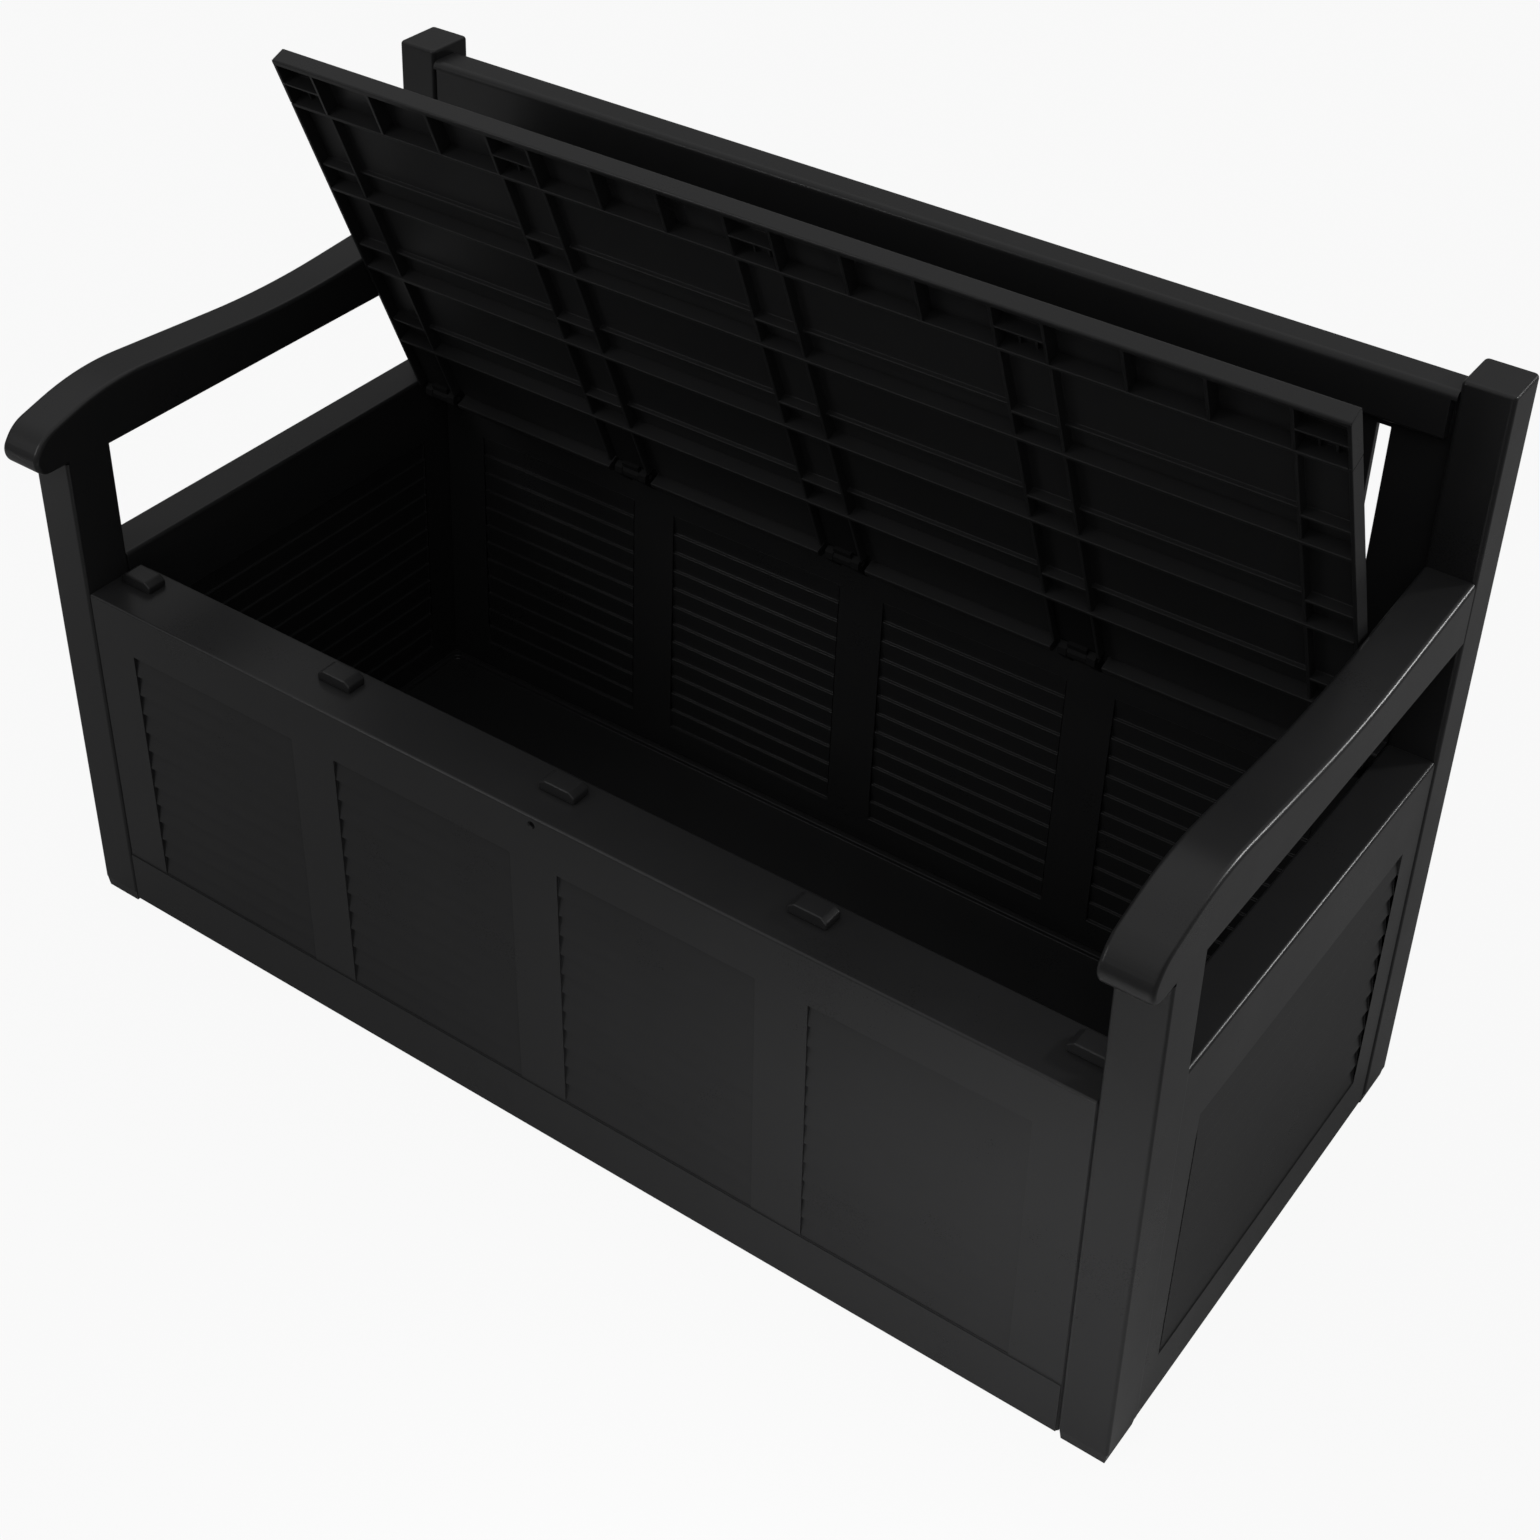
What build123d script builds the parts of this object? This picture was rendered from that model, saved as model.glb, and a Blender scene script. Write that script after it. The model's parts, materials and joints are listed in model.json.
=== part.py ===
from build123d import *
import math
import os

# Garden storage bench: a louvred box on four uprights, with arms, a slatted back and a hinged seat lid.
# Millimetres. X runs along the bench, Y to the rear, Z up from the floor. The lid is drawn open.

# Overall size
WIDTH = 1300.0
DEPTH = 674.0
HEIGHT = 858.0

# Uprights
LEG_W = 51.0
LEG_D = 59.0
POST_D = 58.0
FOOT_H = 14.0
FOOT_INSET = 3.0
FOOT_STEP = 1.2  # foot's top inside the upright's sides
NOSE_REACH = 58.0  # arm nose ahead of the front feet
RAKE = 0.034  # forward lean of the front, per unit of height
UPRIGHT_WALL = 4.5
UPRIGHT_R = 3.5
POST_R = 5.0
POST_TOP_R = 4.0

# Box
PANEL_Z0 = 8.0
RAIL_Z = 435.0  # top of the front rail
SEAT_Z = 455.5  # top of the side rails and of the closed lid
FRONT_BACKSET = 1.2  # front panel face behind the front legs' faces
REAR_BACKSET = 2.0
SIDE_BACKSET = 1.5
FRONT_BASE_D = 61.0  # front panel depth at the floor
SKIN = 6.5
RAIL_SKIN = 8.0
RAIL_R = 2.5
SIDE_RAIL_R = 4.0
SEAM = 2.0
BASE_DROP = 1.5  # top of the base strip below the louvres
LOCK_R = 3.5
LOCK_DROP = 10.0

# Louvre insets
BAYS = 4
STILE = 57.2
SLATS = 12
LOUVRE_D = 4.5
LOUVRE_LIP = 0.8
INSET_Z = (74.0, 377.0)
SIDE_INSET_Z = (66.0, 370.0)
SIDE_STILE_FRONT = 42.0
SIDE_STILE_REAR = 43.0

# Floor of the box
FLOOR_Z = (35.0, 40.0)
BEAD_H = 5.0
BEAD_W = 8.0
BEAD_SETBACK = 6.0
BEAD_R = 14.0

# Arms
ARM_Z = 596.0  # straight underside
ARM_EDGE_R = 5.0
NOSE_ROUND = 18.0
NOSE_SLOPE = 55.3  # of the nose's front face, degrees from level
BROW_H = 44.0  # corners of the top line, above the underside
CROWN_H = 70.5
DIP_H = 48.0
ARM_END_H = 66.0
CROWN_SHARE = 0.15  # along the run from brow to post
DIP_SHARE = 0.60
BROW_ROUND = 42.0
CROWN_EASE = 0.55  # share of the shorter neighbouring run taken by the bend
DIP_EASE = 0.35
ARM_CHANNEL_D = 28.0

# Back
BACK_RAIL_Y = (-2.0, 40.0)  # front and back of the top rail, from the posts' faces
BACK_RAIL_Z = (795.0, 846.0)
BACK_RAIL_R = 8.0
BACK_FOOT_Y = (2.0, 44.0)
BACK_FOOT_H = 44.5
SLAT_Y = (11.0, 20.0)
SLAT_TENON = 12.0
SLIT_W = 13.4
SLIT_COUNT = 16
SLIT_FOOT = 20.0  # slit ends, above the bottom rail and below the top rail
SLIT_HEAD = 11.0
RAIL_END_CUT = (5.0, 13.0)

# Seat lid, drawn closed and then turned open about the hinge
LID_OPEN = 67.0
LID_T = 20.0
LID_GAP = 3.0  # to the side rails
LID_LIFT = 0.5  # above the front rail
LID_FRONT_BACKSET = 3.0  # lid front edge behind the front rail's edge
LIP_W = 60.0
PLANKS = 4
LAST_PLANK = 97.0  # rear plank, up to the hinge axis
CHANNEL_W = 35.0  # thin strip behind each plank's flat
TOP_SKIN = 6.0
THIN_SKIN = 3.5
LIP_WALL = 6.0
END_WALL = 4.0
RIB = 3.5
RIB_LIFT = 2.5
STEP_RIB_D = 11.0  # low rib along the front of each channel
COLUMN_HALF = 26.0
END_COLUMN = 48.5
POCKET_FRONT = 31.0
POCKET_WALL = 2.5
DIVIDER_LIFT = 12.5
PLANK_CHAMFER = 1.2
LIP_R = 2.5

# Hinges
HINGE_SETBACK = 36.6  # hinge axis ahead of the rear posts' faces
PIN_R = 3.0
PIN_FIT = 0.05
KNUCKLE_SIDES = 12
EAR_R = 9.5
EAR_W = 10.0
EAR_GAP = 0.5
BARREL_R = 9.5
BARREL_W = 22.0
STRAP_W = 43.0
STRAP_T = 4.5
STRAP_L = 66.0
COLUMN_CUT = 14.0  # lid skin cleared around the hinge ears
BRACKET_H = 12.0
LEDGE_GAP = 2.5

# Stop blocks on the front rail
BLOCK_W = 43.0
BLOCK_D = 23.5
BLOCK_H = 12.0
BLOCK_CHAMFER = (7.0, 5.0)
BLOCK_CLEAR = 1.0

# Derived places
X_OUT = WIDTH / 2
X_IN = X_OUT - LEG_W
Y_BACK = DEPTH / 2
Y_POST = Y_BACK - POST_D
FOOT_Y = -DEPTH / 2 + NOSE_REACH
Y_IN = FOOT_Y + FRONT_BASE_D
INSET_W = (2 * X_IN - (BAYS + 1) * STILE) / BAYS
LID_X = X_IN - LID_GAP
LID_Z0 = RAIL_Z + LID_LIFT
LID_Z1 = LID_Z0 + LID_T
LID_Y = FOOT_Y + FRONT_BACKSET - RAKE * RAIL_Z + LID_FRONT_BACKSET
HINGE_Y = Y_POST - HINGE_SETBACK
NOSE_R = LID_T / 2
HINGE_Z = LID_Z0 + NOSE_R
LID_REACH = HINGE_Y - LID_Y
PLANK_PITCH = (LID_REACH - LIP_W - LAST_PLANK) / (PLANKS - 1)
COLUMN_X = INSET_W + STILE
SLIT_PITCH = (2 * X_IN + SLIT_W) / (SLIT_COUNT + 1)
BORE_R = (PIN_R + PIN_FIT) / math.cos(math.pi / KNUCKLE_SIDES)
LEDGE_Y = HINGE_Y + NOSE_R + LEDGE_GAP
END_COLUMN_X = LID_X - END_WALL - END_COLUMN / 2 + RIB / 4
COLUMNS = [-END_COLUMN_X, -COLUMN_X, 0.0, COLUMN_X, END_COLUMN_X]
COLUMN_EDGES = [COLUMN_HALF, COLUMN_X - COLUMN_HALF, COLUMN_X + COLUMN_HALF, LID_X - END_WALL - END_COLUMN]


def front_y(z):
    """Front face of the front legs at a height."""
    return FOOT_Y - RAKE * z


def panel_y(z):
    """Front face of the front panel at a height."""
    return front_y(z) + FRONT_BACKSET


def block(x0, x1, y0, y1, z0, z1):
    """Box between two corners."""
    centre = Pos((x0 + x1) / 2, (y0 + y1) / 2, (z0 + z1) / 2)
    return centre * Box(x1 - x0, y1 - y0, z1 - z0)


def prism_x(points, x0, x1):
    """Outline of (y, z) points swept along X."""
    face = make_face(Polyline(*points, close=True))
    return extrude(Plane.YZ.offset(x0) * face, amount=x1 - x0, dir=(1, 0, 0))


def prism_y(points, y0, y1):
    """Outline of (x, z) points swept along Y."""
    face = make_face(Polyline(*points, close=True))
    return extrude(Plane.XZ.offset(-y0) * face, amount=y1 - y0, dir=(0, 1, 0))


def rod_x(y, z, radius, x0, x1):
    """Round bar along X."""
    disc = Plane.YZ.offset(x0) * Pos(y, z) * Circle(radius)
    return extrude(disc, amount=x1 - x0, dir=(1, 0, 0))


def both_sides(shape):
    """The left-hand twin of a right-hand piece."""
    return mirror(shape, about=Plane.YZ)


def louvres(face_at, inward, z_range, bottom, top):
    """Cutting outline of a run of slats: each slat's depth goes from bottom to top."""
    z0, z1 = z_range
    step = (z1 - z0) / SLATS
    points = []
    for index in range(SLATS):
        low = z0 + index * step
        high = low + step
        points.append((face_at(low) + inward * bottom, low))
        points.append((face_at(high) + inward * top, high))
    points.append((face_at(z1) - inward * LOUVRE_D, z1))
    points.append((face_at(z0) - inward * LOUVRE_D, z0))
    return points


def bay_cuts(outline):
    """The same slat outline swept across every bay of a long panel."""
    starts = [-X_IN + STILE + bay * (INSET_W + STILE) for bay in range(BAYS)]
    return [prism_x(outline, x0, x0 + INSET_W) for x0 in starts]


def long_edges(shape, least):
    """Edges at least this long."""
    return [edge for edge in shape.edges() if edge.length > least]


def foot(x, y, depth):
    """Tapered foot under an upright whose middle is at x, y."""
    wide = Rectangle(LEG_W - 2 * FOOT_STEP, depth - 2 * FOOT_STEP)
    narrow = Rectangle(LEG_W - 2 * FOOT_INSET, depth - 2 * FOOT_INSET)
    return loft([Pos(x, y, 0) * narrow, Pos(x, y, FOOT_H) * wide])


def front_leg():
    """Right-hand front leg, leaning forward, hollow from below."""
    outline = [
        (front_y(FOOT_H), FOOT_H),
        (front_y(ARM_Z), ARM_Z),
        (front_y(ARM_Z) + LEG_D, ARM_Z),
        (front_y(FOOT_H) + LEG_D, FOOT_H),
    ]
    leg = prism_x(outline, X_IN, X_OUT)
    leg = fillet(long_edges(leg, LEG_D * 2), UPRIGHT_R)
    leg = leg + foot((X_IN + X_OUT) / 2, front_y(FOOT_H) + LEG_D / 2, LEG_D)
    top = ARM_Z - 2 * UPRIGHT_WALL
    core = [
        (front_y(0) + UPRIGHT_WALL + FOOT_INSET, -1),
        (front_y(top) + UPRIGHT_WALL, top),
        (front_y(top) + LEG_D - UPRIGHT_WALL, top),
        (front_y(0) + LEG_D - UPRIGHT_WALL - FOOT_INSET, -1),
    ]
    inset = UPRIGHT_WALL + FOOT_INSET
    return leg - prism_x(core, X_IN + inset, X_OUT - inset)


def rear_post():
    """Right-hand rear post, hollow from below."""
    post = block(X_IN, X_OUT, Y_POST, Y_BACK, FOOT_H, HEIGHT)
    post = fillet(post.edges().filter_by(Axis.Z), POST_R)
    post = fillet(post.faces().sort_by(Axis.Z)[-1].edges(), POST_TOP_R)
    post = post + foot((X_IN + X_OUT) / 2, (Y_POST + Y_BACK) / 2, POST_D)
    inset = UPRIGHT_WALL + FOOT_INSET
    core = block(X_IN + inset, X_OUT - inset, Y_POST + inset, Y_BACK - inset, -1, HEIGHT - 2 * UPRIGHT_WALL)
    return post - core


def front_panel():
    """Louvred front with its wide top rail and lock hole, hollow from below."""
    outline = [(panel_y(PANEL_Z0), PANEL_Z0), (panel_y(RAIL_Z), RAIL_Z), (Y_IN, RAIL_Z), (Y_IN, PANEL_Z0)]
    panel = prism_x(outline, -X_IN, X_IN)
    rail = [edge for edge in panel.edges().filter_by(Axis.X) if edge.center().Z > RAIL_Z - 1]
    panel = fillet(rail, RAIL_R)
    upright = [edge for edge in long_edges(panel, RAIL_Z / 2) if edge.length < X_IN]
    ends = [edge for edge in upright if edge.center().Y < Y_IN - SKIN]
    panel = chamfer(ends, SEAM)
    base_top = INSET_Z[0] - BASE_DROP
    base = [
        (front_y(PANEL_Z0), PANEL_Z0),
        (front_y(base_top), base_top),
        (front_y(base_top) + SKIN, base_top),
        (front_y(PANEL_Z0) + SKIN, PANEL_Z0),
    ]
    panel = panel + prism_x(base, -X_IN + SEAM, X_IN - SEAM)
    outer = louvres(panel_y, 1, INSET_Z, LOUVRE_LIP, LOUVRE_D)
    inner = louvres(lambda z: Y_IN, -1, INSET_Z, LOUVRE_D, LOUVRE_LIP)
    panel = panel - bay_cuts(outer) - bay_cuts(inner)
    top = RAIL_Z - RAIL_SKIN
    core = [
        (panel_y(0) + SKIN, -1),
        (panel_y(top) + SKIN, top),
        (Y_IN - SKIN, top),
        (Y_IN - SKIN, -1),
    ]
    panel = panel - prism_x(core, -X_IN + SKIN, X_IN - SKIN)
    lock_z = RAIL_Z - LOCK_DROP
    mouth = panel_y(lock_z)
    hole = Pos(0, mouth, lock_z) * Rot(-90, 0, 0) * Cylinder(LOCK_R, 6 * SKIN)
    sink = Pos(0, mouth, lock_z) * Rot(-90, 0, 0) * Cone(LOCK_R + 2, LOCK_R, 4)
    return panel - hole - sink


def rear_panel():
    """Louvred rear wall, hollow from below."""
    y1 = Y_BACK - REAR_BACKSET
    panel = block(-X_IN, X_IN, Y_POST, y1, PANEL_Z0, SEAT_Z)
    outer = louvres(lambda z: y1, -1, INSET_Z, LOUVRE_LIP, LOUVRE_D)
    inner = louvres(lambda z: Y_POST, 1, INSET_Z, LOUVRE_D, LOUVRE_LIP)
    panel = panel - bay_cuts(outer) - bay_cuts(inner)
    return panel - block(-X_IN + SKIN, X_IN - SKIN, Y_POST + SKIN, y1 - SKIN, -1, SEAT_Z - RAIL_SKIN)


def side_panel():
    """Right-hand louvred side with its raised top rail, hollow from below."""
    x1 = X_OUT - SIDE_BACKSET

    def front(z):
        return front_y(z) + LEG_D

    outline = [(front(PANEL_Z0), PANEL_Z0), (front(SEAT_Z), SEAT_Z), (Y_POST, SEAT_Z), (Y_POST, PANEL_Z0)]
    panel = prism_x(outline, X_IN, x1)
    rail = [edge for edge in panel.edges().filter_by(Axis.Y) if edge.center().Z > SEAT_Z - 1]
    panel = fillet(rail, SIDE_RAIL_R)
    y0 = front(SIDE_INSET_Z[1]) + SIDE_STILE_FRONT
    y1 = Y_POST - SIDE_STILE_REAR
    outer = louvres(lambda z: x1, -1, SIDE_INSET_Z, LOUVRE_LIP, LOUVRE_D)
    inner = louvres(lambda z: X_IN, 1, SIDE_INSET_Z, LOUVRE_D, LOUVRE_LIP)
    panel = panel - prism_y(outer, y0, y1) - prism_y(inner, y0, y1)
    top = SEAT_Z - RAIL_SKIN
    core = [
        (front(0) + SKIN, -1),
        (front(top) + SKIN, top),
        (Y_POST - SKIN, top),
        (Y_POST - SKIN, -1),
    ]
    return panel - prism_x(core, X_IN + SKIN, x1 - SKIN)


def floor_panel():
    """Floor of the box with a raised bead along the walls."""
    z0, z1 = FLOOR_Z
    plate = block(-X_IN, X_IN, Y_IN, Y_POST, z0, z1)
    width = 2 * (X_IN - BEAD_SETBACK)
    depth = Y_POST - Y_IN - 2 * BEAD_SETBACK
    ring = RectangleRounded(width, depth, BEAD_R)
    ring = ring - RectangleRounded(width - 2 * BEAD_W, depth - 2 * BEAD_W, BEAD_R / 2)
    bead = extrude(Pos(0, (Y_IN + Y_POST) / 2, z1) * ring, amount=BEAD_H)
    return plate + bead


def bend_radius(before, corner, after, ease):
    """Radius of a bend that uses a share of the shorter of its two runs."""
    first = Vector(corner) - Vector(before)
    second = Vector(after) - Vector(corner)
    turn = math.radians(first.get_angle(second))
    return ease * min(first.length, second.length) / math.tan(turn / 2)


def arm():
    """Right-hand arm: straight underside, swept top and a fat nose over the front leg."""
    slope = math.radians(NOSE_SLOPE)
    toe_y = -DEPTH / 2 + NOSE_ROUND * (1 - 1 / math.tan(slope / 2))
    brow_y = toe_y + BROW_H / math.tan(slope)
    run = Y_POST - brow_y
    start = (Y_POST, ARM_Z)
    toe = (toe_y, ARM_Z)
    brow = (brow_y, ARM_Z + BROW_H)
    crown = (brow_y + CROWN_SHARE * run, ARM_Z + CROWN_H)
    dip = (brow_y + DIP_SHARE * run, ARM_Z + DIP_H)
    end = (Y_POST, ARM_Z + ARM_END_H)
    crown_r = bend_radius(brow, crown, dip, CROWN_EASE)
    dip_r = bend_radius(crown, dip, end, DIP_EASE)
    rounds = [NOSE_ROUND, BROW_ROUND, crown_r, dip_r]
    line = FilletPolyline(start, toe, brow, crown, dip, end, radius=rounds)
    outline = make_face(line + Line(end, start))
    body = extrude(Plane.YZ.offset(X_IN) * outline, amount=LEG_W, dir=(1, 0, 0))
    inner = body.edges().filter_by_position(Axis.X, X_IN, X_IN)
    outer = body.edges().filter_by_position(Axis.X, X_OUT, X_OUT)
    body = fillet([edge for edge in inner + outer if edge.center().Y < Y_POST - ARM_EDGE_R], ARM_EDGE_R)
    leg_y = front_y(ARM_Z)
    body = body + block(X_IN, X_OUT, leg_y + UPRIGHT_R, Y_POST, ARM_Z, ARM_Z + 2 * ARM_EDGE_R)
    channel_y = leg_y + LEG_D + UPRIGHT_WALL
    channel = block(X_IN + SKIN, X_OUT - SKIN, channel_y, Y_POST - SKIN, ARM_Z - 1, ARM_Z + ARM_CHANNEL_D)
    return body - channel


def slat_panel():
    """Slatted back: one plate with upright slits, held in both back rails."""
    y0 = Y_POST + SLAT_Y[0]
    y1 = Y_POST + SLAT_Y[1]
    rail_z = SEAT_Z + BACK_FOOT_H
    plate = block(-X_IN, X_IN, y0, y1, rail_z - SLAT_TENON, BACK_RAIL_Z[0] + SLAT_TENON)
    slits = []
    for index in range(SLIT_COUNT):
        x = (index - (SLIT_COUNT - 1) / 2) * SLIT_PITCH - SLIT_W / 2
        slit = block(x, x + SLIT_W, y0 - 1, y1 + 1, rail_z + SLIT_FOOT, BACK_RAIL_Z[0] - SLIT_HEAD)
        slits.append(slit)
    return plate - slits


def back_top_rail(slats):
    """Top rail of the back, rounded along its length and cut back at both front corners."""
    y0 = Y_POST + BACK_RAIL_Y[0]
    y1 = Y_POST + BACK_RAIL_Y[1]
    z0, z1 = BACK_RAIL_Z
    rail = block(-X_IN, X_IN, y0, y1, z0, z1)
    long_rail = rail.edges().filter_by(Axis.X)
    rail = fillet([edge for edge in long_rail if edge.center().Z > z1 - 1], BACK_RAIL_R)
    front = [edge for edge in rail.edges().filter_by(Axis.X) if edge.center().Z < z0 + 1]
    rail = fillet(front, BACK_RAIL_R / 2)
    wide, deep = RAIL_END_CUT
    cut = block(X_IN - wide, X_IN + 1, y0 - 1, y0 + deep, z0 - 1, z1 - BACK_RAIL_R)
    return rail - cut - both_sides(cut) - slats


def back_bottom_rail(slats):
    """Bottom rail of the back, standing on the rear wall, hollow from below."""
    y0 = Y_POST + BACK_FOOT_Y[0]
    y1 = Y_POST + BACK_FOOT_Y[1]
    z1 = SEAT_Z + BACK_FOOT_H
    rail = block(-X_IN, X_IN, y0, y1, SEAT_Z, z1)
    top = [edge for edge in rail.edges().filter_by(Axis.X) if edge.center().Z > z1 - 1]
    rail = fillet(top, BACK_RAIL_R / 2)
    core_z = z1 - SLAT_TENON - UPRIGHT_WALL
    core = block(-X_IN + SKIN, X_IN - SKIN, y0 + UPRIGHT_WALL, y1 - UPRIGHT_WALL, SEAT_Z - 1, core_z)
    return rail - core - slats


def rear_ledge():
    """Fixed strip of the seat behind the lid."""
    ledge = block(-X_IN, X_IN, LEDGE_Y, Y_POST, LID_Z0 + LID_LIFT, SEAT_Z)
    edge = ledge.edges().filter_by(Axis.X).sort_by(lambda e: e.center().Z - e.center().Y)[-1]
    return fillet(edge, RAIL_R)


def stop_block(x):
    """Block on the front rail that the closed lid drops over."""
    y0 = LID_Y + POCKET_FRONT + POCKET_WALL + BLOCK_CLEAR
    run, drop = BLOCK_CHAMFER
    half = BLOCK_W / 2
    top = RAIL_Z + BLOCK_H
    outline = [
        (x - half, RAIL_Z),
        (x + half, RAIL_Z),
        (x + half, top - drop),
        (x + half - run, top),
        (x - half + run, top),
        (x - half, top - drop),
    ]
    return prism_y(outline, y0, y0 + BLOCK_D)


def rib_x(x, s0, s1, z0, z1, thick=RIB):
    """Thin wall across the lid at x, between two distances from its front edge."""
    return block(x - thick / 2, x + thick / 2, LID_Y + s0, LID_Y + s1, z0, z1)


def column_half(x):
    """Half width of the lid's column at x."""
    return COLUMN_HALF if abs(x) < END_COLUMN_X else END_COLUMN / 2


def lip_ribs():
    """Places of the cross ribs in the lid's front lip."""
    places = []
    spans = [(COLUMN_EDGES[0], COLUMN_EDGES[1]), (COLUMN_EDGES[2], COLUMN_EDGES[3])]
    for start, end in spans:
        for step in range(4):
            places.append(start + (end - start) * step / 3)
    return [-x for x in places] + places


def lid_lip():
    """Front strip of the lid with its ribs and the pockets over the stop blocks."""
    skin = LID_Z1 - THIN_SKIN
    lip = block(-LID_X, LID_X, LID_Y, LID_Y + LIP_W, skin, LID_Z1)
    lip = lip + block(-LID_X, LID_X, LID_Y, LID_Y + LIP_WALL, LID_Z0, LID_Z1)
    for side in (-1, 1):
        lip = lip + rib_x(side * (LID_X - END_WALL / 2), 0, LIP_W, LID_Z0, LID_Z1, END_WALL)
    for x in lip_ribs():
        lip = lip + rib_x(x, LIP_WALL - 1, LIP_W, LID_Z0, skin + 1)
    for x in COLUMNS:
        half = column_half(x)
        y0 = LID_Y + POCKET_FRONT
        lip = lip + block(x - half, x + half, y0, y0 + POCKET_WALL, LID_Z0, skin + 1)
        for place in (x - half / 3, x + half / 3):
            lip = lip + rib_x(place, POCKET_FRONT, LIP_W, LID_Z0 + DIVIDER_LIFT, skin + 1, POCKET_WALL)
    edges = [edge for edge in lip.edges().filter_by(Axis.X) if abs(edge.center().Y - LID_Y) < 0.1]
    return fillet(edges, LIP_R)


def bullnose(x0, x1):
    """Half-round rear edge of the lid between two hinges, on the hinge axis."""
    low = (HINGE_Y, HINGE_Z - NOSE_R)
    high = (HINGE_Y, HINGE_Z + NOSE_R)
    wall_y = HINGE_Y - END_WALL
    arc = ThreePointArc(low, (HINGE_Y + NOSE_R, HINGE_Z), high)
    outline = make_face(arc + Polyline(high, (wall_y, high[1]), (wall_y, low[1]), low))
    return extrude(Plane.YZ.offset(x0) * outline, amount=x1 - x0, dir=(1, 0, 0))


def lid_plank(index):
    """One seat plank: skin, front wall, a low rib at its channel and the ribs beside the columns."""
    s0 = LIP_W + index * PLANK_PITCH
    last = index == PLANKS - 1
    s1 = LID_REACH if last else s0 + PLANK_PITCH
    x1 = LID_X - END_WALL
    y0 = LID_Y + s0
    plank = block(-x1, x1, y0, LID_Y + s1, LID_Z1 - THIN_SKIN, LID_Z1)
    flat = LAST_PLANK - COLUMN_CUT / 2 if last else PLANK_PITCH - CHANNEL_W
    plank = plank + block(-x1, x1, y0, y0 + flat, LID_Z1 - TOP_SKIN, LID_Z1)
    plank = plank + block(-x1, x1, y0, y0 + END_WALL, LID_Z0, LID_Z1)
    if not last:
        step_y = y0 + flat
        plank = plank + block(-x1, x1, step_y, step_y + RIB, LID_Z1 - STEP_RIB_D, LID_Z1)
        for x in COLUMNS:
            left = max(x - column_half(x), -x1)
            right = min(x + column_half(x), x1)
            plank = plank + block(left, right, step_y, step_y + RIB, LID_Z0 + RIB_LIFT, LID_Z1)
    for x in COLUMN_EDGES:
        plank = plank + rib_x(x, s0, s1, LID_Z0 + RIB_LIFT, LID_Z1 - 1)
        plank = plank + rib_x(-x, s0, s1, LID_Z0 + RIB_LIFT, LID_Z1 - 1)
    if last:
        for x in COLUMNS:
            half = COLUMN_HALF + RIB if abs(x) < END_COLUMN_X else (END_COLUMN + RIB) / 2 + RIB
            cut_y = LID_Y + s1 - COLUMN_CUT
            plank = plank - block(x - half, x + half, cut_y, LID_Y + s1 + 1, LID_Z0 - 1, LID_Z1 + 1)
        spans = [(COLUMN_EDGES[0], COLUMN_EDGES[1]), (COLUMN_EDGES[2], COLUMN_EDGES[3])]
        for start, end in spans:
            roll = bullnose(start + RIB, end - RIB)
            plank = plank + roll + both_sides(roll)
    edges = [edge for edge in plank.edges().filter_by(Axis.X) if abs(edge.center().Z - LID_Z1) < 0.1]
    front = [edge for edge in edges if abs(edge.center().Y - y0) < 0.1]
    plank = chamfer(front, PLANK_CHAMFER)
    return plank


def lid_end():
    """Right-hand end strip of the lid, closing the planks' ends."""
    x0 = LID_X - END_WALL
    strip = block(x0, LID_X, LID_Y + LIP_W, LID_Y + LID_REACH - COLUMN_CUT, LID_Z0, LID_Z1)
    front = strip.faces().sort_by(Axis.Y)[0]
    return chamfer(front.edges().sort_by(Axis.X)[-1], PLANK_CHAMFER)


def knuckle(radius, x0, x1):
    """Facetted bar on the hinge axis, with corners at the radius: a knuckle, or a pin's bore."""
    outline = Plane.YZ.offset(x0) * Pos(HINGE_Y, HINGE_Z) * RegularPolygon(radius, KNUCKLE_SIDES)
    return extrude(outline, amount=x1 - x0, dir=(1, 0, 0))


def hinge_leaf(x):
    """Lid half of a hinge: strap under the last plank and a barrel on the axis."""
    z1 = LID_Z1 - TOP_SKIN
    y1 = HINGE_Y - COLUMN_CUT
    strap = block(x - STRAP_W / 2, x + STRAP_W / 2, y1 - STRAP_L, y1, z1 - STRAP_T, z1)
    half = BARREL_W / 2
    web = block(x - half, x + half, y1 - 1, HINGE_Y, z1 - 2 * STRAP_T, z1)
    leaf = strap + web + knuckle(BARREL_R, x - half, x + half)
    return leaf - knuckle(BORE_R, x - half - 1, x + half + 1)


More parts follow.
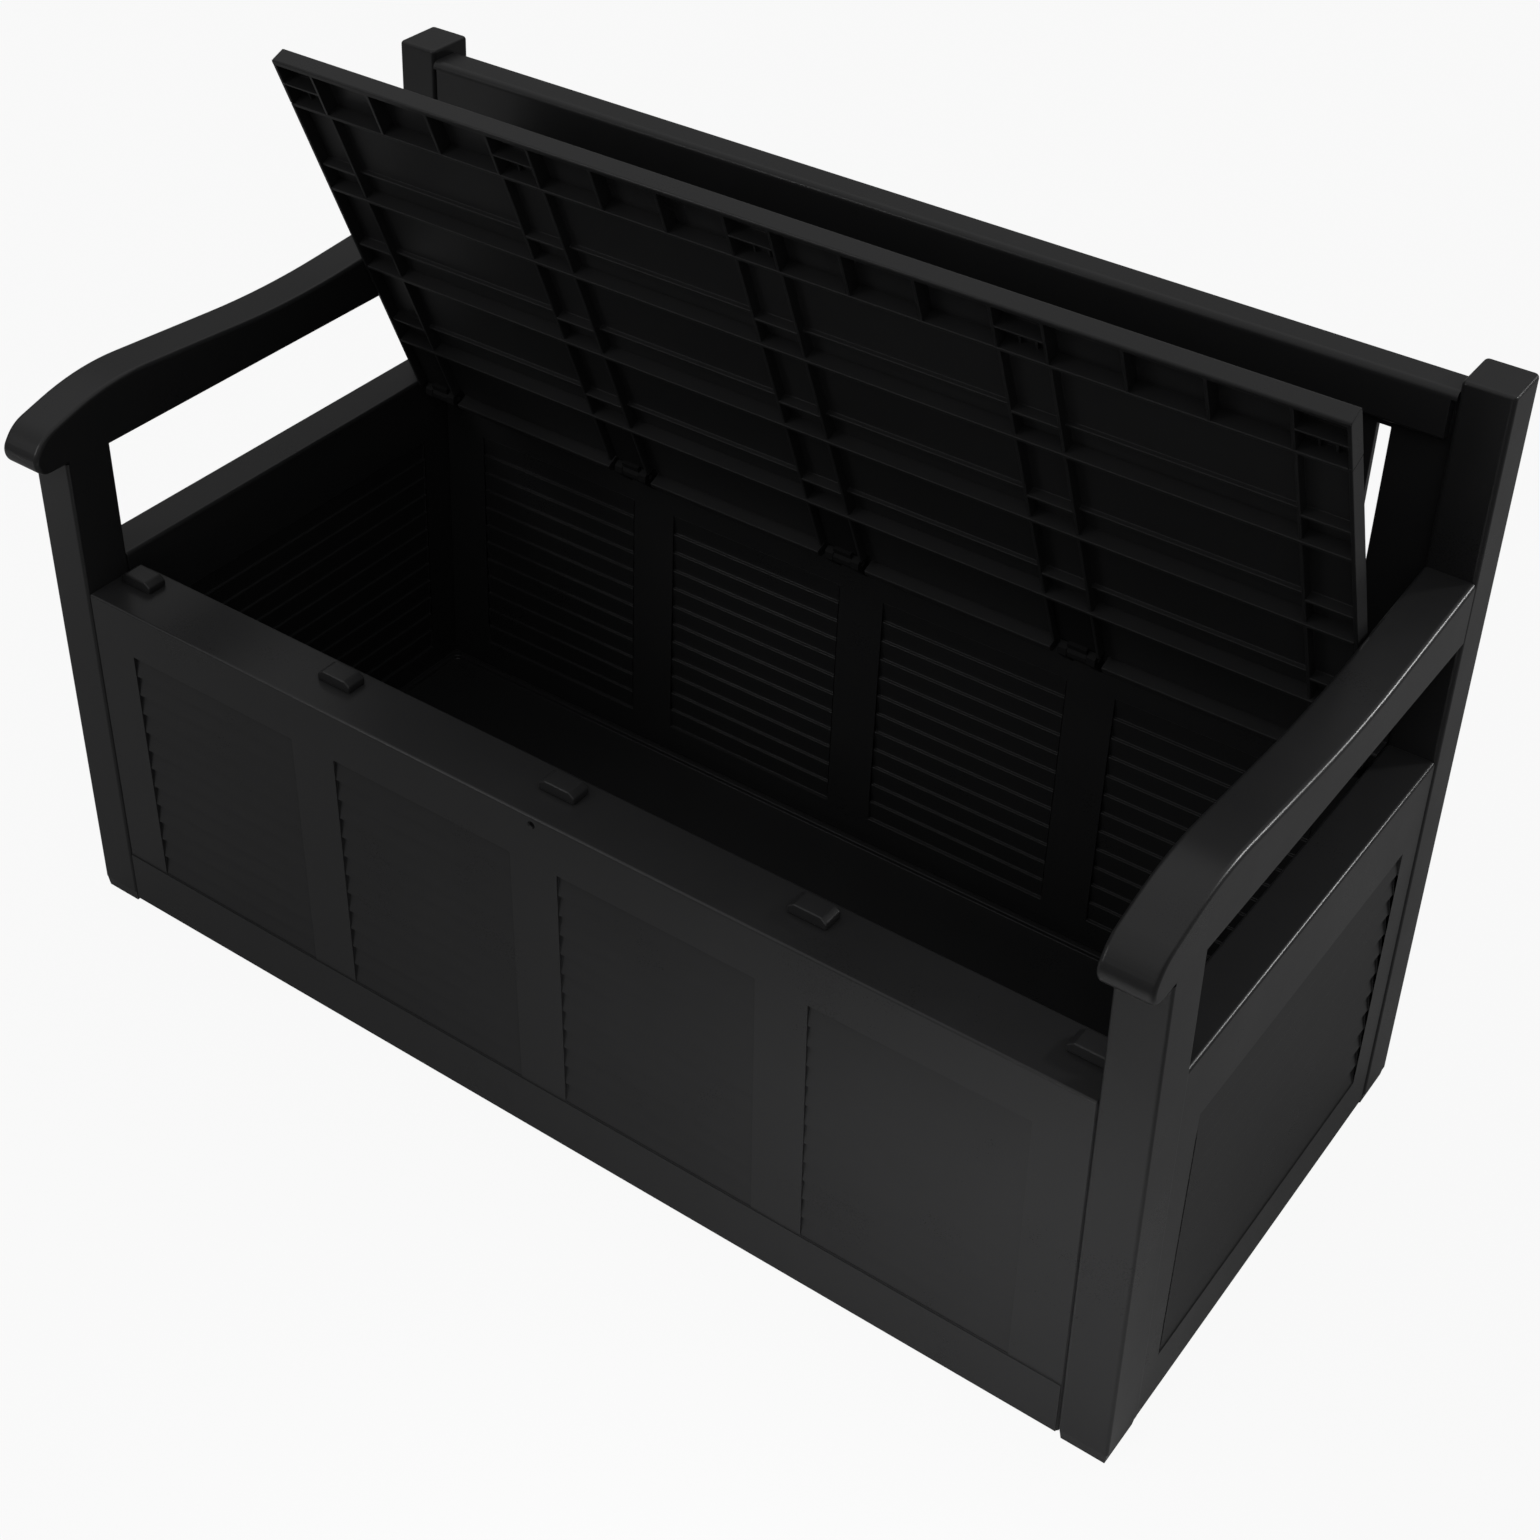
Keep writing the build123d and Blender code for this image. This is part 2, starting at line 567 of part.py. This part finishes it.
def hinge_bracket(x):
    """Fixed half of a hinge: two ears on a foot under the rear ledge."""
    z1 = LID_Z0 + LID_LIFT
    z0 = z1 - BRACKET_H
    face_y = LEDGE_Y - LEDGE_GAP / 2
    nib = EAR_R * math.tan(math.radians(22.5))
    side = [
        (HINGE_Y - EAR_R, HINGE_Z - nib),
        (HINGE_Y + EAR_R, z0),
        (Y_POST, z0),
        (Y_POST, z1),
        (face_y, z1),
        (face_y, HINGE_Z + nib),
        (HINGE_Y + nib, HINGE_Z + EAR_R),
        (HINGE_Y - nib, HINGE_Z + EAR_R),
        (HINGE_Y - EAR_R, HINGE_Z + nib),
    ]
    inner = BARREL_W / 2 + EAR_GAP
    outer = inner + EAR_W
    bracket = block(x - outer, x + outer, LEDGE_Y + LEDGE_GAP, Y_POST, z0, z1)
    for x0, x1 in ((x - outer, x - inner), (x + inner, x + outer)):
        bracket = bracket + prism_x(side, x0, x1)
    return bracket - knuckle(BORE_R, x - outer - 1, x + outer + 1)


def hinge_pin(x):
    """Pin through both ears and the barrel."""
    half = BARREL_W / 2 + EAR_GAP + EAR_W
    return rod_x(HINGE_Y, HINGE_Z, PIN_R, x - half, x + half)


def opened(shape):
    """Turns a lid piece from closed to open about the hinge axis."""
    return shape.rotate(Axis((0, HINGE_Y, HINGE_Z), (1, 0, 0)), -LID_OPEN)


slats = slat_panel()
nodes = {
    "front_panel": front_panel(),
    "rear_panel": rear_panel(),
    "side_panel_right": side_panel(),
    "floor_panel": floor_panel(),
    "front_leg_right": front_leg(),
    "rear_post_right": rear_post(),
    "arm_right": arm(),
    "back_slat_panel": slats,
    "back_top_rail": back_top_rail(slats),
    "back_bottom_rail": back_bottom_rail(slats),
    "rear_ledge": rear_ledge(),
    "lid_lip": opened(lid_lip()),
    "lid_end_right": opened(lid_end()),
    "lid_end_left": opened(both_sides(lid_end())),
    "hinge_pins": Compound([hinge_pin(x).solid() for x in COLUMNS]),
}
for name in ("side_panel", "front_leg", "rear_post", "arm"):
    nodes[name + "_left"] = both_sides(nodes[name + "_right"])
for index in range(PLANKS):
    nodes[f"lid_plank_{index + 1}"] = opened(lid_plank(index))
for index, x in enumerate(COLUMNS):
    nodes[f"stop_block_{index + 1}"] = stop_block(x)
    nodes[f"hinge_leaf_{index + 1}"] = opened(hinge_leaf(x))
    nodes[f"hinge_bracket_{index + 1}"] = hinge_bracket(x)

os.makedirs("parts", exist_ok=True)
for name, shape in nodes.items():
    export_step(shape, f"parts/{name}.step")
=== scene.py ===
# %% [markdown]
# A garden storage bench in near-black moulded resin. Its seat is the lid of the storage box and
# stands open. The solids come in as a fixed frame, at their real size and place, so this lesson
# is about what a maker would call the finish: the skin of the resin, the small rounds that every
# moulding has on its edges, and a light and a camera that show them.
#
# The frame is loaded first.

# %% Load the frame
import json
import math

import bmesh
import bpy
from mathutils import Matrix, Vector

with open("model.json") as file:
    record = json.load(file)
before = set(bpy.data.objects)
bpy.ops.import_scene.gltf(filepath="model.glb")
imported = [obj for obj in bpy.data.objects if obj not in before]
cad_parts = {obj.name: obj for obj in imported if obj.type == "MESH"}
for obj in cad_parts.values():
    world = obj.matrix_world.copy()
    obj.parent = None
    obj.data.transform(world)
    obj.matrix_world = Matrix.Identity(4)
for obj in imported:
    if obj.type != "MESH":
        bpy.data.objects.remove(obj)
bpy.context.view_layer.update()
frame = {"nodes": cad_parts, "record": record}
nodes = frame["nodes"]
print("pieces in the frame:", len(nodes))

# %% [markdown]
# Shader maths reads best as plain arithmetic. Nodes could be added and linked one by one, but a
# sum of three terms then takes ten lines. Here a small class wraps one socket of a material, and
# its operators add Math nodes behind the scenes. Every other node is added by one method, which
# sets the node's settings first and then fills or links its sockets.


# %% A socket that can be reckoned with
class Wire:
    """One output socket in a node tree. Arithmetic on it adds Math nodes."""

    def __init__(self, tree, socket=None):
        self.tree = tree
        self.socket = socket

    def node(self, kind, settings=None, sockets=None, output=0):
        """Adds a node, sets it up, fills or links its sockets and returns one of its outputs."""
        made = self.tree.nodes.new(kind)
        for key, value in (settings or {}).items():
            setattr(made, key, value)
        for key, value in (sockets or {}).items():
            if isinstance(value, Wire):
                self.tree.links.new(value.socket, made.inputs[key])
            else:
                made.inputs[key].default_value = value
        return Wire(self.tree, made.outputs[output]) if made.outputs else None

    def sum_of(self, operation, first, second):
        return self.node("ShaderNodeMath", {"operation": operation}, {0: first, 1: second})

    def __add__(self, other):
        return self.sum_of("ADD", self, other)

    __radd__ = __add__

    def __mul__(self, other):
        return self.sum_of("MULTIPLY", self, other)

    __rmul__ = __mul__

    def __sub__(self, other):
        return self.sum_of("SUBTRACT", self, other)

    def __rsub__(self, other):
        return self.sum_of("SUBTRACT", other, self)

    def __truediv__(self, other):
        return self.sum_of("DIVIDE", self, other)

    def __rtruediv__(self, other):
        return self.sum_of("DIVIDE", other, self)


def blank_material(name):
    """A node material with nothing in it yet."""
    material = bpy.data.materials.new(name)
    material.use_nodes = True
    material.node_tree.nodes.clear()
    return material, Wire(material.node_tree)


print("sums and products of sockets become Math nodes")

# %% [markdown]
# The resin is coloured right through and comes out of a lightly grained steel mould. It has a
# soft satin sheen, a fine even grain and faint clouds where the melt cooled at different rates.
# A scanned texture would need an unwrapped surface on every piece. Noise on Object coordinates
# needs none, and it has the same scale on a wide panel and on a small block.
#
# Three finishes share the recipe. The body is the smoothest, the lid's planks are duller, as from
# a mould that isn't polished, and the hinges are matte and darker in tone, which is painted shade
# that keeps them dim.

# %% Moulded resin
RESIN_TONE = 0.0145
# The hinge tone is darker than the resin as painted shade, so that the hinge halves stay dim.
HINGE_TONE_WITH_PAINTED_SHADE = 0.0070
TONE_SPREAD = 0.17
BODY_ROUGHNESS = 0.30
LID_ROUGHNESS = 0.48
HINGE_ROUGHNESS = 0.70
RESIN_GLOSS = 0.20
BLUE_LEAN = 1.025
CLOUDS_PER_M = 9.0
CLOUD_SHARE = 0.7
CLOUD_ROUGHNESS = 0.12
GRAIN_PER_M = 700.0
GRAIN_SHARE = 0.3
GRAIN_ROUGHNESS = 0.08
GRAIN_HEIGHT = 0.00012
GRAIN_STRENGTH = 0.35


def near_black(value):
    """A dark grey that leans to blue by a hair."""
    return (value, value, value * BLUE_LEAN, 1.0)


def resin(name, tone, roughness, gloss):
    """Satin resin. Clouds and grain push its tone and its roughness a little either way."""
    material, start = blank_material(name)
    place = start.node("ShaderNodeTexCoord", output="Object")
    clouds = start.node(
        "ShaderNodeTexNoise",
        None,
        {"Vector": place, "Scale": CLOUDS_PER_M, "Detail": 4.0, "Roughness": 0.6},
    )
    grain = start.node("ShaderNodeTexNoise", None, {"Vector": place, "Scale": GRAIN_PER_M, "Detail": 2.0})
    colour = start.node(
        "ShaderNodeMix",
        {"data_type": "RGBA"},
        {
            "Factor": clouds * CLOUD_SHARE + grain * GRAIN_SHARE,
            "A": near_black(tone * (1.0 - TONE_SPREAD)),
            "B": near_black(tone * (1.0 + TONE_SPREAD)),
        },
        output="Result",
    )
    bump = start.node(
        "ShaderNodeBump",
        None,
        {"Strength": GRAIN_STRENGTH, "Distance": GRAIN_HEIGHT, "Height": grain},
    )
    shader = start.node(
        "ShaderNodeBsdfPrincipled",
        None,
        {
            "Base Color": colour,
            "Roughness": (clouds - 0.5) * CLOUD_ROUGHNESS + (grain - 0.5) * GRAIN_ROUGHNESS + roughness,
            "Specular IOR Level": gloss,
            "Normal": bump,
        },
    )
    start.node("ShaderNodeOutputMaterial", None, {"Surface": shader})
    print(name, "tone", tone, "roughness", roughness)
    return material


body_resin = resin("body_resin_satin", RESIN_TONE, BODY_ROUGHNESS, RESIN_GLOSS)
lid_resin = resin("lid_resin_dull", RESIN_TONE, LID_ROUGHNESS, RESIN_GLOSS)
hinge_resin = resin("hinge_resin_matte", HINGE_TONE_WITH_PAINTED_SHADE, HINGE_ROUGHNESS, RESIN_GLOSS / 2)

# %% [markdown]
# The hinge pins are short lengths of drawn steel rod. Drawing pulls fine lines along the rod, so
# the noise that drives its roughness is squeezed across the rod and stretched along X. Lines cut
# into the mesh would be far too small to see.

# %% Drawn steel
STEEL = (0.42, 0.42, 0.43, 1.0)
STEEL_ROUGHNESS = 0.25
LINE_ROUGHNESS = 0.2
LINES_PER_M = (40.0, 1500.0, 1500.0)


def drawn_steel():
    """Bare steel with drawing lines along X."""
    material, start = blank_material("pin_steel_drawn")
    place = start.node("ShaderNodeTexCoord", output="Object")
    along = start.node("ShaderNodeMapping", None, {"Vector": place, "Scale": LINES_PER_M})
    lines = start.node("ShaderNodeTexNoise", None, {"Vector": along, "Scale": 1.0, "Detail": 2.0})
    shader = start.node(
        "ShaderNodeBsdfPrincipled",
        None,
        {"Base Color": STEEL, "Metallic": 1.0, "Roughness": lines * LINE_ROUGHNESS + STEEL_ROUGHNESS},
    )
    start.node("ShaderNodeOutputMaterial", None, {"Surface": shader})
    return material


pin_steel = drawn_steel()
print(pin_steel.name, "has", len(pin_steel.node_tree.nodes), "nodes")

# %% [markdown]
# Each piece names the stuff it is made of, and that picks its finish. One finish for the whole
# bench would be simpler, but two kinds of piece differ from their neighbours. The lid's lip and
# ends have the sheen of the body, and the hinge halves are small and matte.

# %% Finish on every piece
finishes = {"body_resin": body_resin, "lid_resin": lid_resin, "pin_steel": pin_steel}
slots = {part["node"]: part["material_slot"] for part in frame["record"]["subparts"]}
for name, node in nodes.items():
    finish = finishes[slots[name]]
    if name.startswith(("lid_lip", "lid_end")):
        finish = body_resin
    if name.startswith(("hinge_leaf", "hinge_bracket")):
        finish = hinge_resin
    node.material_slots[0].material = finish
print("finishes set:", sorted({node.material_slots[0].material.name for node in nodes.values()}))

# %% [markdown]
# No moulded edge is truly sharp. On a near-black piece these tiny rounds are most of what the eye
# sees: each louvre inside the box and each rib of the lid draws one thin bright line. The frame's
# meshes stay as they are, so the rounds are modifiers. Weld joins the loose triangles, Decimate
# makes whole flats of them, and Bevel rounds every edge that turns by more than thirty degrees.
# Weighted Normal then keeps the flats flat.
#
# The lip skips Decimate: with its many pockets, the whole flats came out wrong and met the stop
# blocks when the lid was shut. The front panel is left alone, because Bevel drew streaks over it,
# and the solid already rounds its top rail.

# %% Rounded edges
SHARP = math.radians(30.0)
LEVEL = math.radians(0.5)
JOIN_REACH = 0.00001
ROUND_STEPS = 2
EDGE_ROUNDS = {
    "back_slat_panel": 0.0010,
    "floor_panel": 0.0015,
    "lid_end": 0.0008,
    "lid_lip": 0.0008,
    "lid_plank": 0.0008,
    "rear_ledge": 0.0010,
    "rear_panel": 0.0010,
    "side_panel": 0.0010,
    "stop_block": 0.0015,
}
PIERCED = ("lid_lip",)


def round_edges(node, width):
    """Adds the modifiers that round a piece's sharp edges."""
    join = node.modifiers.new("join", "WELD")
    join.merge_threshold = JOIN_REACH
    if node.name not in PIERCED:
        flats = node.modifiers.new("flats", "DECIMATE")
        flats.decimate_type = "DISSOLVE"
        flats.angle_limit = LEVEL
    edge = node.modifiers.new("edge", "BEVEL")
    edge.affect = "EDGES"
    edge.width = width
    edge.segments = ROUND_STEPS
    edge.profile = 0.5
    edge.limit_method = "ANGLE"
    edge.angle_limit = SHARP
    edge.use_clamp_overlap = False
    edge.material = -1
    even = node.modifiers.new("even", "WEIGHTED_NORMAL")
    even.weight = 50
    even.keep_sharp = False


rounded = []
for name, node in nodes.items():
    for family, width in EDGE_ROUNDS.items():
        if name.startswith(family):
            round_edges(node, width)
            rounded.append(name)
print("pieces with rounded edges:", len(rounded))

# %% [markdown]
# The bench stands in a plain light tent. The world is the tent's cloth: brightest overhead, softer
# in front and dim behind, so that flat tops don't mirror a white sky. A few big lamps could do the
# same, but each would leave its own square reflection in the satin resin. The camera sees plain
# white, and mirror and glass rays see a pale band near the horizon, where the tent meets the floor.

# %% Light tent
OVERHEAD = 0.86
FRONT = 0.48
BEHIND = 0.20
AROUND = 0.05
HORIZON = 0.30
OVERHEAD_BAND = (0.45, 0.80)
WALL_BAND = (0.10, 0.35)
SIDE_BAND = (0.1, 0.9)
HORIZON_BAND = (0.04, 0.12)
WHITE = (1.0, 1.0, 1.0, 1.0)


def path_rays(start):
    """The camera, glossy and transmission flags of the ray that is being shaded."""
    camera_ray = start.node("ShaderNodeLightPath", output="Is Camera Ray")
    rays = camera_ray.socket.node.outputs
    glossy_ray = Wire(start.tree, rays["Is Glossy Ray"])
    through_ray = Wire(start.tree, rays["Is Transmission Ray"])
    return camera_ray, glossy_ray, through_ray


def ease(value, low, high):
    """Zero below low, one above high and a smooth step in between."""
    limits = {"Value": value, "From Min": low, "From Max": high}
    return value.node("ShaderNodeMapRange", {"interpolation_type": "SMOOTHSTEP"}, limits)


world = bpy.data.worlds.new("light_tent")
bpy.context.scene.world = world
world.use_nodes = True
world.node_tree.nodes.clear()
tent = Wire(world.node_tree)
towards = tent.node("ShaderNodeTexCoord", output="Generated")
across = tent.node("ShaderNodeSeparateXYZ", None, {"Vector": towards}, output="X")
back = Wire(tent.tree, across.socket.node.outputs["Y"])
up = Wire(tent.tree, across.socket.node.outputs["Z"])
level = tent.sum_of("POWER", across * across + back * back, 0.5)
overhead = ease(up, *OVERHEAD_BAND)
wall = ease(up, *WALL_BAND) * (1.0 - overhead)
front_share = ease(back / level * -1.0, *SIDE_BAND)
back_share = ease(back / level, *SIDE_BAND)
cloth = wall * (front_share * FRONT + back_share * BEHIND) + overhead * OVERHEAD + AROUND
camera_ray, glossy_ray, through_ray = path_rays(tent)
horizon = (glossy_ray + through_ray) * (1.0 - ease(up, *HORIZON_BAND)) * HORIZON
strength = camera_ray + (1.0 - camera_ray) * (cloth + horizon)
backdrop = tent.node("ShaderNodeBackground", None, {"Color": WHITE, "Strength": strength})
tent.node("ShaderNodeOutputWorld", None, {"Surface": backdrop})
print("light tent made of", len(world.node_tree.nodes), "nodes")

# %% [markdown]
# The floor is matte. It could be a sheet that curves up behind the bench, but against the white
# tent the join hardly shows, so a flat square does. To the camera it is nearly white, with a faint
# shadow. In reflections it keeps its own grey and more of the shadow, which is what shades each
# dark panel.

# %% Floor
FLOOR_SIZE = 60.0
FLOOR_GREY = 0.28
WHITE_TO_CAMERA = 0.93
WHITE_IN_GLOSS = 0.02

floor_mesh = bpy.data.meshes.new("floor")
shape = bmesh.new()
bmesh.ops.create_grid(shape, x_segments=1, y_segments=1, size=FLOOR_SIZE / 2)
shape.to_mesh(floor_mesh)
shape.free()
floor = bpy.data.objects.new("floor", floor_mesh)
bpy.context.scene.collection.objects.link(floor)
floor_finish, start = blank_material("pale_floor")
camera_ray, glossy_ray, through_ray = path_rays(start)
share = camera_ray * WHITE_TO_CAMERA + (glossy_ray + through_ray) * WHITE_IN_GLOSS
matte = start.node("ShaderNodeBsdfDiffuse", None, {"Color": (FLOOR_GREY, FLOOR_GREY, FLOOR_GREY, 1.0)})
white = start.node("ShaderNodeEmission", None, {"Color": WHITE, "Strength": 1.0})
mixed = start.node("ShaderNodeMixShader", None, {0: share, 1: matte, 2: white})
start.node("ShaderNodeOutputMaterial", None, {"Surface": mixed})
floor_mesh.materials.append(floor_finish)
print("floor laid:", FLOOR_SIZE, "m square")

# %% [markdown]
# Four lamps finish the light. Two hang low and face straight down, one at each end of the front.
# They mostly light the floor, and the resin mirrors that floor, so from the camera the front grows
# lighter towards its right end and the left post shines. From straight in front, the right one
# also leaves a light patch on the bay behind it. A small lamp high at the front left adds little
# light but draws the thin lines along louvres and ribs. A narrow spot from behind does the same
# along the right arm and the rail below it. One strong lamp could draw all these lines, but it
# would also light up the dark inside of the box.


# %% Lamps
def aimed_lamp(name, kind, place, target, watts, settings):
    """A lamp that looks at a point and isn't seen by the camera."""
    light = bpy.data.lights.new(name, kind)
    light.energy = watts
    for key, value in settings.items():
        setattr(light, key, value)
    lamp = bpy.data.objects.new(name, light)
    aim = (Vector(target) - Vector(place)).to_track_quat("-Z", "Y")
    lamp.matrix_world = Matrix.Translation(place) @ aim.to_matrix().to_4x4()
    lamp.visible_camera = False
    bpy.context.scene.collection.objects.link(lamp)
    print(name, "at", place, "with", watts, "W")


POOL_HEIGHT = 0.50
POOL_SIZE = 0.4
POOLS = {"right_pool": (0.60, -0.90, 9.0), "left_pool": (-1.75, -1.08, 6.0)}
SEAT_MIDDLE = (0.0, 0.0, 0.45)
BESIDE_RIGHT_ARM = (0.68, -0.02, 0.58)
RIM_CONE = math.radians(20.0)

for name, (x, y, watts) in POOLS.items():
    aimed_lamp(name, "AREA", (x, y, POOL_HEIGHT), (x, y, 0.0), watts, {"size": POOL_SIZE})
aimed_lamp("edge_lamp", "AREA", (-1.8, -2.6, 2.0), SEAT_MIDDLE, 13.0, {"size": 0.7})
rim = {"spot_size": RIM_CONE, "spot_blend": 0.6, "shadow_soft_size": 0.2}
aimed_lamp("rim_lamp", "SPOT", (2.1, 1.85, 1.55), BESIDE_RIGHT_ARM, 130.0, rim)

# %% [markdown]
# The camera looks down on the bench from the front right, as the photograph does. Its place and
# lens were fitted to corners whose places are known. The fit puts the optical centre well off the
# picture's middle, as in one cut from a wider picture, so the lens is shifted as well as turned.
# Half of the fitted shift is used. All of it would follow the photograph more closely, but would
# push the bench out of the frame when it is turned to show its other sides.

# %% Camera
CAMERA_PLACE = Vector((1.1991, -1.7220, 1.9711))
CAMERA_AZIMUTH = math.radians(36.23)
CAMERA_ELEVATION = math.radians(32.30)
CAMERA_ROLL = math.radians(0.92)
CAMERA_LENS = 59.92
CAMERA_SHIFT = (0.067, -0.179)

level_axis = Vector((math.cos(CAMERA_AZIMUTH), math.sin(CAMERA_AZIMUTH), 0.0))
heading = Vector((-math.sin(CAMERA_AZIMUTH), math.cos(CAMERA_AZIMUTH), 0.0))
ahead = heading * math.cos(CAMERA_ELEVATION) - Vector((0.0, 0.0, math.sin(CAMERA_ELEVATION)))
turn = Matrix((level_axis, level_axis.cross(ahead), -ahead)).transposed().to_4x4()
camera_data = bpy.data.cameras.new("camera")
camera_data.lens = CAMERA_LENS
camera_data.shift_x, camera_data.shift_y = CAMERA_SHIFT
camera = bpy.data.objects.new("camera", camera_data)
camera.matrix_world = Matrix.Translation(CAMERA_PLACE) @ turn @ Matrix.Rotation(CAMERA_ROLL, 4, "Z")
bpy.context.scene.collection.objects.link(camera)
bpy.context.scene.camera = camera
bpy.context.scene.view_settings.view_transform = "Standard"
print("camera at", [round(value, 3) for value in CAMERA_PLACE], "lens", CAMERA_LENS, "mm")
